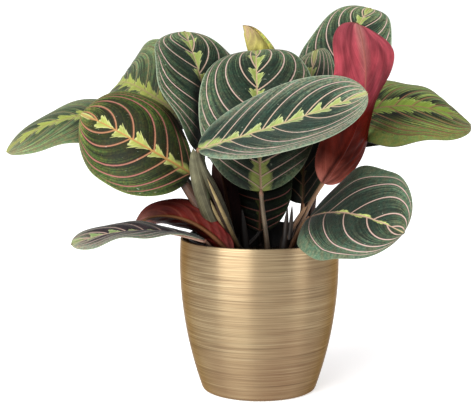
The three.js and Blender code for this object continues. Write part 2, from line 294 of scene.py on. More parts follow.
def blackPolypropylene():
    # moulded plastic: a grained skin with a dull shine, dusty with peat
    material, add, place = newMaterial("moulded black polypropylene")
    dust = add("TexNoise", {0: place, "Scale": 90, "Detail": 5, "Roughness": 0.65})
    tone = add("ValToRGB", (dust,))
    setRamp(tone, ((0.45, "121214"), (0.75, "2c2824")))
    rough = add("MapRange", (dust, 0.4, 0.7, 0.42, 0.7))
    grain = add("TexNoise", {0: place, "Scale": 1400, "Detail": 1})
    bump = add("Bump", {"Strength": 0.15, "Distance": 0.0002, "Height": grain})
    return setShader(material, {
        "Base Color": tone, "Roughness": rough, "Normal": bump, "Specular IOR Level": 0.25})


def nurseryRadius(height):
    share = height / nursery["height"]
    return nursery["footRadius"] + (nursery["rimRadius"] - nursery["footRadius"]) * share


def leanPiece(piece):
    piece.rotation_euler = (math.radians(nursery["lean"]), 0, 0)
    piece.location = nursery["place"]
    applyPlace(piece)


def makeNurseryPot():
    top, low = nursery["height"], nursery["height"] - nursery["lipHeight"]
    wall, rim = nursery["wall"], nursery["rimRadius"] + nursery["lip"]
    profile = [[0, nursery["footRadius"] - 1.6 * mm], [0.5 * mm, nursery["footRadius"] - 0.5 * mm]]
    profile += [[2 * mm, nurseryRadius(2 * mm)], [low * 0.5, nurseryRadius(low * 0.5)]]
    profile += [[low, nurseryRadius(low)], [low + 0.5 * mm, nurseryRadius(low) + nursery["lip"]]]
    profile += [[top - 0.9 * mm, rim], [top - 0.2 * mm, rim - 0.25 * mm], [top, rim - 0.8 * mm]]
    profile += [[top, rim - 1.6 * mm], [top - 0.4 * mm, rim - 2.2 * mm]]
    profile += [[low, nurseryRadius(low) - wall], [low * 0.5, nurseryRadius(low * 0.5) - wall]]
    profile += [[4 * mm, nurseryRadius(4 * mm) - wall], [1.6 * mm, nurseryRadius(4 * mm) - wall - 2.4 * mm]]
    made = turnPiece(profile, nursery["sides"])
    smoothPiece(made, 40)
    leanPiece(made)
    finishPiece(made, "nursery_cup", "nursery_pot", "black_plastic", blackPolypropylene())


makeNurseryPot()
print("nursery pot made")


# potting soil: damp peat with crumbs, bark and a little perlite
soil = {
    "level": 100.2 * mm,
    "dome": 2.5 * mm,
    "gap": 0.35 * mm,
    "foot": 1.95 * mm,
    "sides": 96,
    "rings": 22,
    "rough": 1.6 * mm,
    "crumbs": 260,
    "crumbSize": (1.2 * mm, 3.4 * mm),
    "seed": 11,
}


def dampPeat():
    # damp peat and bark: near black and dull, each crumb a little lighter or darker
    material, add, place = newMaterial("damp peat")
    lumps = add("TexNoise", {0: place, "Scale": 260, "Detail": 6, "Roughness": 0.7})
    tone = add("ValToRGB", (lumps,))
    setRamp(tone, ((0.3, "0f0b08"), (0.52, "21170f"), (0.72, "4a3524")))
    bump = add("Bump", {"Strength": 0.6, "Distance": 0.001, "Height": lumps})
    return setShader(material, {
        "Base Color": tone, "Roughness": 0.92, "Specular IOR Level": 0.15, "Normal": bump})


def soilHeight(radius):
    share = min(radius / nurseryRadius(soil["level"]), 1)
    return soil["level"] + soil["dome"] * (1 - share ** 2)


def makeSoil():
    draw = random.Random(soil["seed"])
    inset = nursery["wall"] + soil["gap"]
    level = soil["level"]
    profile = [[soil["foot"], nurseryRadius(4 * mm) - inset - 2.4 * mm]]
    profile += [[4.3 * mm, nurseryRadius(4 * mm) - inset], [level * 0.5, nurseryRadius(level * 0.5) - inset]]
    edge = nurseryRadius(level) - inset
    profile += [[level - 0.8 * mm, edge], [level, edge - 0.6 * mm]]
    for ring in range(1, soil["rings"]):
        profile.append([level, edge * (1 - ring / soil["rings"])])
    made = turnPiece(profile, soil["sides"])
    for vertex in made.data.vertices:
        if vertex.co.z > level - 0.1 * mm:
            radius = math.hypot(vertex.co.x, vertex.co.y)
            fade = min(1, (edge - radius) / (4 * mm))
            lump = noise.noise(vertex.co * 160) + 0.6 * noise.noise(vertex.co * 420)
            vertex.co.z = soilHeight(radius) + soil["rough"] * lump * fade
    # one crumb, then copies turned and sized at random
    crumbs = []
    deselectAll()
    bpy.ops.mesh.primitive_ico_sphere_add(subdivisions=2, radius=1)
    crumb = bpy.context.object
    for vertex in crumb.data.vertices:
        vertex.co *= 1 + 0.35 * noise.noise(vertex.co * 1.4)
    for _ in range(soil["crumbs"]):
        copy = crumb.copy()
        copy.data = crumb.data.copy()
        bpy.context.collection.objects.link(copy)
        radius = (edge - 2.5 * mm) * math.sqrt(draw.random())
        angle = draw.uniform(0, 2 * math.pi)
        size = draw.uniform(*soil["crumbSize"]) * 0.5
        copy.location = (radius * math.cos(angle), radius * math.sin(angle), soilHeight(radius) + size * 0.2)
        copy.rotation_euler = [draw.uniform(0, 6.28) for _ in range(3)]
        copy.scale = [size * draw.uniform(0.7, 1.4), size, size * draw.uniform(0.5, 0.9)]
        crumbs.append(copy)
    bpy.data.objects.remove(crumb)
    made = joinPieces([made] + crumbs)
    smoothPiece(made, 60)
    leanPiece(made)
    finishPiece(made, "potting_soil", "soil", "soil", dampPeat())


makeSoil()
print("soil made")


# the plant. Its sizes are in millimetres and degrees, as a gardener would note them
shoots = {
    "left": dict(at=(-17, -22), radius=6.5, look="greyGreen"),
    "front": dict(at=(-33, -36), radius=3.8, look="brown"),
    "low": dict(at=(-18, -4), radius=5.5, look="umber"),
    "middle": dict(at=(7, -22), radius=4.5, look="rosy"),
    "right": dict(at=(22, -20), radius=6, look="tan"),
    "back_left": dict(at=(-42, 11), radius=5.5, look="greyGreen"),
    "back_right": dict(at=(35, 13), radius=6, look="brown"),
    "back": dict(at=(4, 37), radius=6, look="greyGreen"),
}
soilTop = 106

# Each leaf: at, where its blade starts; stalk, the shift of its foot, how far it runs upright and along
# the blade, its radius at the foot and how much its sheath swells it; course, heading, turn, rise, droop
# and bend of the midrib; size, length and width; roll and twist; fold, curl and pinch of the halves, left
# then right; wave and its phase; veins, where they leave the midrib as shares of its length, left and
# right; sweep, how far out they run, how that tapers to the tip and how soon they bend tipward, left and
# right; patch, width of the pale patches by the midrib at base, middle and tip.
leaves = {
    "front": dict(
        shoot="left", at=(-47.5, -66, 202), stalk=(-2, -2, 45, 10, 3.4, 1.6), course=(-3, 1, 16, -5, 1),
        size=(136, 86), roll=(26, 16), fold=(12, 15), curl=(-15, -14), wave=(0.3, 0),
        veins=((0.03, 0.12, 0.24, 0.37, 0.5, 0.62, 0.72, 0.84),
               (0.03, 0.1, 0.18, 0.3, 0.43, 0.62, 0.77, 0.88)),
        sweep=((1.35, 0.8, 0.27), (0.92, 1.0, 0.08)), patch=(7, 9, 5), look="hazy"),
    "left": dict(
        shoot="left", at=(-54, -25, 179.5), stalk=(-3, 0, 35, 18, 2.6, 0.3), course=(195, -69, 31, 24, 2.3),
        size=(115, 84), roll=(-57, -4), fold=(5, 6), curl=(-41, -37), wave=(1.5, 0.2),
        veins=((0.0, 0.09, 0.2, 0.31, 0.49, 0.62, 0.8), (-0.03, 0.07, 0.2, 0.3, 0.47, 0.61, 0.79)),
        sweep=((1.0, 1.3, 0.11), (0.95, 1.1, 0.11)), patch=(5, 9, 3), look="warm"),
    "far_left": dict(
        shoot="back_left", at=(-93, 35, 224), stalk=(-2, 1, 60, 30, 2.4, 0), course=(185, -6, 3, 50, 1.7),
        size=(128, 74), roll=(-28, 6), fold=(5, 5), curl=(-28, -26), wave=(1.7, 0.1), patch=(6, 10, 8),
        look="pale"),
    "upper_left": dict(
        shoot="low", at=(-45.5, 20, 193), stalk=(-2, 0, 40, 25, 2.6, 0.3), course=(144, -34, 104, 69, 1),
        size=(114, 88), roll=(19, -12), fold=(9, 15), curl=(-32, -16), wave=(3.3, -0.2),
        veins=((-0.02, 0.1, 0.21, 0.32, 0.46, 0.62, 0.75, 0.87),
               (-0.02, 0.1, 0.22, 0.34, 0.47, 0.58, 0.77, 0.88)),
        sweep=((1.0, 0.1, 0.13), (1.45, 0.9, 0.29)), patch=(2, 7, 9), look="velvet"),
    "centre": dict(
        shoot="middle", at=(1, -22, 165), stalk=(0, -1, 20, 20, 2.4, 0), course=(100, -12, 74, 74, 3.2),
        size=(142, 96), roll=(-4, 0), fold=(11, 12), curl=(-24, -22), wave=(1.6, 0),
        veins=((0.01, 0.09, 0.16, 0.24, 0.35, 0.46, 0.61, 0.75, 0.87),
               (0.01, 0.08, 0.16, 0.25, 0.34, 0.42, 0.49, 0.59, 0.71, 0.85)),
        sweep=((1.1, 1.2, 0.13), (1.4, 0.9, 0.15)), patch=(11, 6, 9), look="velvet"),
    "upper_right": dict(
        shoot="back_right", at=(57.5, 75, 199.5), stalk=(1, 2, 50, 30, 2.6, 0),
        course=(45, 10, 68, 42, 3.1), size=(140, 83), roll=(-2, 10), fold=(20, 11), curl=(-10, -24),
        wave=(3.3, 0.3),
        veins=((0.02, 0.1, 0.19, 0.35, 0.49, 0.64, 0.76, 0.88),
               (0.02, 0.12, 0.22, 0.34, 0.47, 0.61, 0.76, 0.88)),
        sweep=((1.1, 0.0, 0.21), (1.05, 0.0, 0.13)), patch=(2, 5, 8), look="velvet"),
    "pink": dict(
        shoot="right", at=(50, -18, 171.5), stalk=(2, 0, 25, 14, 2.4, 0), course=(6, -71, 55, -66, 1.6),
        size=(138, 74), widest=0.8, roll=(-54, 94), fold=(-12, 9), curl=(-9, 18), pinch=(0, 70, 0.42, 0.2),
        wave=(3.4, 0), look="pink"),
    "right": dict(
        shoot="back_right", at=(72.5, 36, 220.5), stalk=(2, -1, 60, 30, 2.4, 0),
        course=(-24, 42, 25, 56, 1), size=(112, 94), roll=(41, -19), fold=(9, 6), curl=(-33, -26),
        wave=(2.4, -0.2),
        veins=((0.03, 0.13, 0.25, 0.38, 0.51, 0.64, 0.78), (-0.03, 0.08, 0.18, 0.33, 0.48, 0.63, 0.78)),
        sweep=((1.4, 0.8, 0.29), (1.0, 0.6, 0.31)), patch=(11, 13, 9), look="banded"),
    "lower_right": dict(
        shoot="right", at=(38, -44, 147), stalk=(0, -2, 15, 12, 2.4, 0), course=(-66, 16, 18, 35, 1),
        size=(119, 85), roll=(32, 9), fold=(18, 9), curl=(-5, -42), wave=(-2.5, 0.1),
        veins=((0.02, 0.25, 0.5, 0.72, 0.88), (0.03, 0.23, 0.44, 0.66, 0.84)),
        sweep=((1.05, 0.0, 0.33), (0.95, 0.4, 0.23)), patch=(0.3, 3.6, 0.8), look="misty"),
    "red_arch": dict(
        shoot="front", at=(-23.5, -43, 116), stalk=(0, 0, 4, 6, 2.2, 0), course=(174, -42, 58, 95, 1),
        size=(104, 32), widest=0.4, roll=(90, -24), fold=(24, 20), curl=(30, 40), wave=(3, 0.3),
        look="crimson"),
    "low_left": dict(
        shoot="front", at=(-43, -42, 128.5), stalk=(-1, 0, 6, 6, 2.2, 0), course=(169, 17, 17, 39, 1),
        size=(110, 48), widest=0.62, roll=(3, -32), fold=(25, 20), curl=(-36, -53), wave=(2.4, 0),
        patch=(0, 2, 8), look="grey"),
    "low_centre": dict(
        shoot="low", at=(0.5, 4, 128.5), stalk=(1, 1, 12, 5, 2.2, 0), course=(88, -10, 80, 20, 1.7),
        size=(78, 53), widest=0.57, roll=(-8, 5), fold=(8, 5), curl=(-20, -18), wave=(1.8, -0.1),
        sweep=((1.2, 0.4, 0.07), (1.2, 0.4, 0.07)), look="deep"),
    "narrow": dict(
        shoot="right", at=(36, 14, 151), stalk=(1, 3, 15, 15, 2.2, 0), course=(84, -12, 70, 24, 2.2),
        size=(145, 70), roll=(-17, 2), fold=(9, 18), curl=(-20, 6), wave=(2, 0.1), look="velvet"),
    "olive": dict(
        shoot="back_left", at=(-58, 40, 218), stalk=(0, 2, 50, 15, 2.4, 0), course=(154, -50, 29, 53, 2.1),
        size=(125, 99), roll=(-71, 28), fold=(2, 6), curl=(-12, -3), wave=(3, 0.4), patch=(6, 10, 8),
        look="pale"),
    "spear": dict(
        shoot="back", at=(7, 48, 236), stalk=(1, -3, 50, 12, 2.4, 0), course=(147, 11, 65, -15, 2.1),
        size=(67, 45), roll=(22, 9), fold=(60, 55), curl=(90, 72), wave=(0.6, -0.1), look="young"),
    "dark_red": dict(
        shoot="low", at=(-21.5, -6, 121), stalk=(-1, -3, 8, 6, 2.2, 0), course=(180, 0, 84, 12, 1.5),
        size=(72, 23), roll=(90, 0), fold=(16, 16), curl=(20, 20), wave=(1.6, 0.3), look="dusk"),
    "back_high": dict(
        shoot="back", at=(-8, 60, 205), stalk=(0, 1, 50, 30, 2.4, 0), course=(102, 6, 50, 82, 1.5),
        size=(116, 80), roll=(0, 0), fold=(10, 10), curl=(-28, -26), wave=(2, 0.2), look="velvet"),
    "back_low": dict(
        shoot="back", at=(-4, 66, 160), stalk=(0, 2, 20, 20, 2.4, 0), course=(92, 10, 34, 60, 1.3),
        size=(108, 74), roll=(6, 0), fold=(10, 12), curl=(-30, -26), wave=(2.2, 0.6), look="warm"),
    "back_left_low": dict(
        shoot="back_left", at=(-66, 44, 176), stalk=(-1, 3, 30, 25, 2.4, 0), course=(138, 10, 30, 66, 1.4),
        size=(104, 72), roll=(-10, 0), fold=(10, 12), curl=(-30, -26), wave=(2, 0.1), look="velvet"),
    "back_left_high": dict(
        shoot="back", at=(-34, 60, 222), stalk=(-2, 0, 60, 35, 2.4, 0), course=(118, 10, 48, 70, 1.4),
        size=(108, 76), roll=(-6, 0), fold=(10, 12), curl=(-30, -26), wave=(2, 0.4), look="warm"),
    "back_right_high": dict(
        shoot="back", at=(22, 82, 195), stalk=(2, 0, 50, 30, 2.4, 0), course=(72, -10, 40, 70, 1.4),
        size=(104, 72), roll=(6, 0), fold=(12, 10), curl=(-26, -30), wave=(2, 0.7), look="warm"),
    "back_right_low": dict(
        shoot="back_right", at=(74, 52, 196), stalk=(1, 3, 40, 30, 2.4, 0), course=(38, -12, 26, 55, 1.4),
        size=(100, 70), roll=(8, 0), fold=(12, 10), curl=(-26, -30), wave=(2, 0.9), look="velvet"),
}

outline = {"widest": 0.48, "power": 2.15, "roundTo": 0.982, "pointFrom": 0.97, "stalkEnd": 1.2,
           "point": 0.5}
plainVeins = (
    (0.02, 0.11, 0.22, 0.34, 0.47, 0.6, 0.73, 0.86),
    (0.01, 0.1, 0.2, 0.32, 0.45, 0.58, 0.71, 0.84))
plainSweep = ((1.08, 0.8, 0.14), (1.08, 0.8, 0.15))
plainPatch = (2.5, 6, 6)


def direction(leaf, s):
    heading, turn, rise, droop, bend = leaf["course"]
    a = math.radians(heading + turn * s)
    e = math.radians(rise - droop * s ** bend)
    return Vector((math.cos(e) * math.cos(a), math.cos(e) * math.sin(a), math.sin(e)))


def midrib(leaf, s):
    point = Vector(leaf["at"])
    steps = 24
    for k in range(steps):
        point += direction(leaf, (k + 0.5) / steps * s) * (leaf["size"][0] * s / steps)
    return point


def halfWidth(leaf, s):
    # an egg shape, drawn out to a small point at the tip; never narrower than the stalk or that point
    widest = leaf.get("widest", outline["widest"])
    b = min(s / outline["roundTo"], 1)
    u = (widest - b) / widest if b < widest else (b - widest) / (1 - widest)
    share = math.sqrt(max(0, 1 - abs(u) ** outline["power"]))
    share = max(share, 2 * (1 - s) if s > outline["pointFrom"] else 0)
    return max(share * leaf["size"][1] / 2, outline["stalkEnd"] if s < 0.5 else outline["point"])


def bladeRow(leaf, s):
    # everything about one cross line of the blade
    t = direction(leaf, s)
    a = math.radians(leaf["course"][0] + leaf["course"][1] * s)
    level = Vector((-math.sin(a), math.cos(a), 0))
    up = t.cross(level)
    r = math.radians(leaf["roll"][0] + leaf["roll"][1] * s)
    across = level * math.cos(r) + up * math.sin(r)
    normal = up * math.cos(r) - level * math.sin(r)
    return midrib(leaf, s), across, normal, halfWidth(leaf, s)


def bladePoint(leaf, s, v, row):
    centre, across, normal, w = row
    side, half = (1, 0) if v >= 0 else (-1, 1)
    fold = math.radians(leaf["fold"][half])
    curl = math.radians(leaf["curl"][half])
    if "pinch" in leaf and leaf["pinch"][0] == half:
        _, most, middle, reach = leaf["pinch"]
        curl += math.radians(most) * math.exp(-((s - middle) / reach) ** 2)
    bent = fold + curl * abs(v)
    x = (math.sin(bent) - math.sin(fold)) / curl
    y = (math.cos(fold) - math.cos(bent)) / curl
    height, phase = leaf["wave"]
    wave = height * v * v * math.sin(2 * math.pi * (2 * s + phase + 0.25 * half)) * math.sin(math.pi * s)
    facing = normal * math.cos(bent) - across * (side * math.sin(bent)) if v else normal
    return centre + across * (side * x * w) + normal * (y * w + wave), facing


def veinStart(sweep, s, out):
    # where on the midrib the vein through this place leaves it, found by halving
    reach, taper, bend = sweep
    low, high = -0.5, s
    for _ in range(18):
        start = (low + high) / 2
        end = max(reach * (1 - taper * max(start, 0) ** 1.5), 0.08)
        if end * (1 - math.exp((start - s) / bend)) > out:
            low = start
        else:
            high = start
    return low


def veinCount(leaf, s, v, start=None):
    # runs through whole numbers at the veins
    half = 0 if v >= 0 else 1
    stations = leaf.get("veins", plainVeins)[half]
    if start is None:
        start = veinStart(leaf.get("sweep", plainSweep)[half], s, abs(v))
    k = 0
    while k < len(stations) - 2 and start > stations[k + 1]:
        k += 1
    count = k + (start - stations[k]) / (stations[k + 1] - stations[k])
    return min(max(count, -0.45), len(stations) - 0.55)


# lengths in mm. The keel is the midrib's swelling underneath, the groove its line on top; end is where the
# blade stops as a share of its length
blade = {"rows": 104, "columns": 44, "spread": 1.45, "thickness": 2.0, "sheet": 0.22, "quilt": 0.35,
         "groove": 0.5, "grooveWidth": 1.3, "keel": 1.5, "keelWidth": 1.7, "lean": 0.75, "end": 0.986}
# the maps of a blade hold its numbers divided by these
mapScale = {"count": 10, "pitch": 40, "offset": 100, "patch": 20}


def rowShare(i):
    return blade["end"] * (1 - math.cos(math.pi * i / blade["rows"])) / 2


def columnShare(j):
    t = 2 * j / blade["columns"] - 1
    return math.copysign(abs(t) ** blade["spread"], t)


def ease(value, low, high):
    share = min(max((value - low) / (high - low), 0), 1)
    return share * share * (3 - 2 * share)


def veinPitch(points, counts, i, j):
    # millimetres from vein to vein, square to them
    rows, columns = blade["rows"], blade["columns"]
    middle = columns // 2
    rate = 0
    for di, dj in ((1, 0), (0, 1)):
        i0, i1 = max(i - di, 0), min(i + di, rows)
        j0, j1 = max(j - dj, 0), min(j + dj, columns)
        if dj and j == middle:
            j0 = middle
        if dj and j == middle - 1:
            j1 = j
        run = (points[i1][j1] - points[i0][j0]).length
        rate += ((counts[i1][j1] - counts[i0][j0]) / max(run, 0.02)) ** 2
    return min(1 / max(math.sqrt(rate), 0.025), 40)


def patchWidth(leaf, s):
    low, middle, high = leaf.get("patch", plainPatch)
    return low + (middle - low) * s * 2 if s < 0.5 else middle + (high - middle) * (s * 2 - 1)


def addGrid(rows, columns):
    deselectAll()
    bpy.ops.mesh.primitive_grid_add(x_subdivisions=rows, y_subdivisions=columns, size=2)
    return bpy.context.object


def makeBlade(name, leaf, materials):
    rows, columns = blade["rows"], blade["columns"]
    made = addGrid(rows, columns)
    mesh = made.data
    for mapName in ("veins", "blade", "patch"):
        mesh.uv_layers.new(name=mapName)
    thick = made.vertex_groups.new(name="thick")
    rowOf = [bladeRow(leaf, rowShare(i)) for i in range(rows + 1)]
    sheet = [[bladePoint(leaf, rowShare(i), columnShare(j), rowOf[i]) for j in range(columns + 1)]
             for i in range(rows + 1)]
    points = [[point for point, facing in row] for row in sheet]
    counts = [[veinCount(leaf, rowShare(i), columnShare(j)) for j in range(columns + 1)]
              for i in range(rows + 1)]
    places = {}
    for vertex in mesh.vertices:
        i = round((vertex.co.x + 1) / 2 * rows)
        j = round((vertex.co.y + 1) / 2 * columns)
        s, v = rowShare(i), columnShare(j)
        point, facing = sheet[i][j]
        count = counts[i][j]
        pitch = veinPitch(points, counts, i, j)
        offset = abs(v) * rowOf[i][3]
        # the blade bulges a little between its veins and is sunk along the midrib
        inner = ease(offset, 0, 5) * (1 - ease(abs(v), 0.75, 1)) * ease(s, 0, 0.1) * (1 - ease(s, 0.85, 1))
        quilt = blade["quilt"] * inner * math.cos(2 * math.pi * (count + 0.5)) * ease(pitch, 2, 8)
        groove = -blade["groove"] * math.exp(-(offset / blade["grooveWidth"]) ** 2) * (1 - s)
        vertex.co = (point + facing * (quilt + groove + 0.15)) * mm
        keel = blade["keel"] * (1 - s) + 0.25
        keel *= math.exp(-(offset / (blade["keelWidth"] - 0.9 * s)) ** 2)
        fade = 1 - 0.45 * ease(abs(v), 0.9, 1)
        thick.add([vertex.index], min(1, (blade["sheet"] * 2 * fade + keel) / blade["thickness"]), "REPLACE")
        # the patches' ends lean tipward, but less than the veins do
        patchCount = veinCount(leaf, s, v, s - blade["lean"] * offset / leaf["size"][0])
        places[vertex.index] = (
            (s, (v + 1) / 2),
            (count / mapScale["count"], pitch / mapScale["pitch"]),
            (offset / mapScale["offset"], 0),
            (patchCount / mapScale["count"], patchWidth(leaf, s) / mapScale["patch"]))
    for k, layer in enumerate(mesh.uv_layers):
        for loop in mesh.loops:
            layer.data[loop.index].uv = places[loop.vertex_index][k]
    for material in materials:
        mesh.materials.append(material)
    thicken(made, blade["thickness"] * mm, -1, vertex_group="thick", thickness_vertex_group=0,
            material_offset=1, material_offset_rim=2)
    made.vertex_groups.clear()
    smoothPiece(made, 70)
    slot = "young_leaf" if leaf["look"] == "young" else "leaf"
    finishPiece(made, "blade_" + name, "leaf_" + name, slot)


# Leaf finishes. A prayer plant's blade is velvety: tiny domed cells scatter the light, so its dark green
# looks greyed where the light comes from behind, and fine cross veins stripe it. under is its lower side
# from stalk to tip.
wine = ((0, "6b2a2c"), (0.3, "5e1624"), (1, "5e1624"))
usualLook = dict(
    dark="0a1f14", green="384d38", tip="66794e", vein="a98a80", shade="241814", patch="7f963e",
    cream="a9b266", under=wine, underVein="96606a", underLine=0.6, crease=0.15, band=0, stripe=0.55,
    sheen=0.1, gloss=0.15, line=0.8, spread=(0.3, 0.95), ribLow=1, grain=1)
leafLooks = {
    "velvet": dict(
        dark="1a261c", green="46543f", edge="8f9c84", tip="687456", vein="ae968c", shade="201612",
        patch="86934c", cream="a4ac72", rib="a68e70", sheen=0.08, line=0.56),
    # hazy: velvet made lighter and greyer, a painted sheen for the front leaf, which catches more light
    "hazy": dict(
        dark="1c2a22", green="575f50", edge="8a947f", tip="74806a", vein="a89288", shade="2a201c",
        patch="8a9656", cream="a6ac7e", rib="a08e6a", sheen=0.12, line=0.54),
    "misty": dict(
        dark="222b24", green="4a5646", edge="5c6852", tip="47533f", vein="a48c84", shade="2a201c",
        patch="9aa258", cream="a8b06a", rib="a08472", sheen=0.06, line=0.52, grain=0.8),
    # deep: velvet made darker, painted shade for a leaf low in the middle of the plant
    "deep": dict(
        dark="121e10", green="26331f", edge="52604a", tip="34472a", vein="a06e6a", shade="1c100e",
        patch="4c5826", cream="646e38", rib="7a5a44", stripe=0.5, sheen=0, gloss=0.05, line=0.6),
    "warm": dict(
        dark="1a1d07", green="39451c", edge="6c7440", tip="5f6834", vein="82524a", shade="30130e",
        patch="8a9048", cream="a0a26a", rib="94703e", stripe=0.7, sheen=0.04, line=0.68),
    "pale": dict(
        dark="2a331c", green="566040", edge="808868", tip="74785a", vein="6a5c42", shade="34341f",
        patch="828a3c", cream="8f9650", rib="857b4c", band=0.45, underVein="a06a6c", stripe=1.1, gloss=0.2,
        line=0.42, spread=(0.1, 0.75), grain=0.5),
    "banded": dict(
        dark="11120a", green="66703c", edge="62683f", tip="686c44", vein="7a4e3c", shade="332317",
        patch="6a7e2e", cream="8e9e54", rib="806543", band=0.75, underVein="a06a6c", stripe=1.1, sheen=0.06,
        line=0.55, spread=(0.12, 0.62), grain=0.4),
    "grey": dict(
        dark="241a20", green="5a6052", edge="8f9c80", tip="7c7b68", vein="93807a", shade="3a2628",
        patch="6f8450", cream="93a070", rib="a58a78", stripe=0.6, sheen=0.15, gloss=0.2, line=0.55),
    "pink": dict(
        edge="7a463c", rib="8c5048",
        # pink's underside: the deep maroon from 0.18 to 0.46 is painted shadow, where the front leaf shades
        # it; the lighter base and the brighter pink from 0.58 to the tip are painted light
        under=((0, "8a544a"), (0.07, "66332a"), (0.18, "3c1008"), (0.46, "480e08"),
               (0.58, "80303a"), (0.78, "8f3a42"), (1, "8f424b")),
        underVein="8a4a4c", underLine=0.16, crease=0.42, stripe=0.4, gloss=0.06, ribLow=0),
    "crimson": dict(
        edge="6a4438", rib="5a3e24",
        under=((0, "94504a"), (0.14, "742a28"), (0.32, "52140c"), (0.6, "4a120c"), (1, "54160e")),
        underVein="683628", underLine=0.5, crease=0.3, stripe=0.4, sheen=0.05),
    # dusk: near black, painted shade for a leaf deep among the stalks
    "dusk": dict(
        dark="081409", green="1f2f1b", edge="3a2a24", tip="34472a", vein="8a5f58", shade="1c100e",
        patch="6a7c34", cream="8a9350", rib="3f2a1c", under=((0, "1c1210"), (1, "2a1014")),
        underVein="30191a", underLine=0.4, stripe=0.4, sheen=0, gloss=0.05),
    "young": dict(
        dark="8f9c40", green="b4b450", edge="b09878", tip="b09868", vein="98984a", shade="8c8c3c",
        patch="c2c25e", cream="d2d272", rib="a8a050",
        under=((0, "8f9038"), (0.55, "a8a648"), (0.8, "a89a60"), (1, "9a7a6c")), underVein="b0aa5c",
        crease=0.25, stripe=0.5, gloss=0.3, line=0.6),
}


def veinNodes(add):
    # what both faces of a blade are drawn from: count of veins, distance from the nearest in mm, distance
    # from the midrib in mm, share of the way to the margin and along the blade, and a fine stripe
    veins, across, patches, sheet = [add("SeparateXYZ", (add("UVMap", uv_map=name),))
                                     for name in ("veins", "blade", "patch", "UVMap")]
    count = add("Math", (veins.outputs["X"], mapScale["count"]))
    pitch = add("Math", (veins.outputs["Y"], mapScale["pitch"]))
    phase = add("Math", (count, 0.5), operation="PINGPONG")
    near = add("Math", (phase, pitch))
    offset = add("Math", (across.outputs["X"], mapScale["offset"]))
    cell = add("Math", (patches.outputs["X"], mapScale["count"]))
    width = add("Math", (patches.outputs["Y"], mapScale["patch"]))
    signed = add("Math", (sheet.outputs["Y"], 2, -1), operation="MULTIPLY_ADD")
    share = add("Math", (signed,), operation="ABSOLUTE")
    # cross veins lie about 0.8 mm apart, between and along the main ones
    stripeAt = add("Math", (count, 15))
    stripePlace = add("CombineXYZ", (stripeAt, signed, sheet.outputs["X"]))
    stripe = add("TexNoise", {0: stripePlace, "Scale": 1, "Detail": 2, "Roughness": 0.6})
    return {"count": count, "pitch": pitch, "phase": phase, "near": near, "offset": offset,
            "patches": cell, "width": width, "share": share, "along": sheet.outputs["X"],
            "signed": signed, "stripe": stripe.outputs[0]}


def leafSkin(add, place, veins, look):
    # dark beside the midrib and in the middle between veins, greener to the margin, the border frayed
    fray = add("MapRange", (veins["stripe"], 0.3, 0.7, -0.24, 0.24))
    finger = add("Math", (veins["phase"], -0.35, fray), operation="MULTIPLY_ADD")
    frayed = add("Math", (veins["share"], finger), operation="ADD")
    low, high = look["spread"]
    outer = add("MapRange", (frayed, low, high), interpolation_type="SMOOTHSTEP")
    ground = add("Mix", {0: outer, 6: look["dark"], 7: look["green"]})
    # the tip is paler
    tipAt = add("Math", (fray, 0.3, veins["along"]), operation="MULTIPLY_ADD")
    tipShare = add("MapRange", (tipAt, 0.8, 1, 0, 0.85))
    tipped = add("Mix", {0: tipShare, 6: ground, 7: look["tip"]})
    low, high = 1 - look["stripe"] * 0.5, 1 + look["stripe"] * 0.7
    stripes = add("MapRange", (veins["stripe"], 0.35, 0.65, low, high))
    striped = add("VectorMath", {0: tipped, 3: stripes})
    # the velvet's own speckle, drawn 2 mm wide to show, and broad clouds
    velvet = add("TexNoise", {0: place, "Scale": 520, "Detail": 4, "Roughness": 0.65})
    clouds = add("TexNoise", {0: place, "Scale": 45, "Detail": 3})
    least, most = 1 - 0.45 * look["grain"], 1 + 0.55 * look["grain"]
    speckle = add("MapRange", (velvet, 0.35, 0.65, least, most))
    mottle = add("MapRange", (clouds, 0.3, 0.7, 0.8, 1.2))
    tone = add("Math", (speckle, mottle))
    toned = add("VectorMath", {0: striped, 3: tone})
    # small spots of it are bluer, others browner
    spots = add("TexNoise", {0: place, "Scale": 260, "Detail": 2})
    hue = add("MapRange", (spots, 0.38, 0.62))
    hueTint = add("Mix", {0: hue, 6: "e2fff6", 7: "fff0e2"})
    return add("VectorMath", (toned, hueTint.outputs[2]), operation="MULTIPLY"), velvet


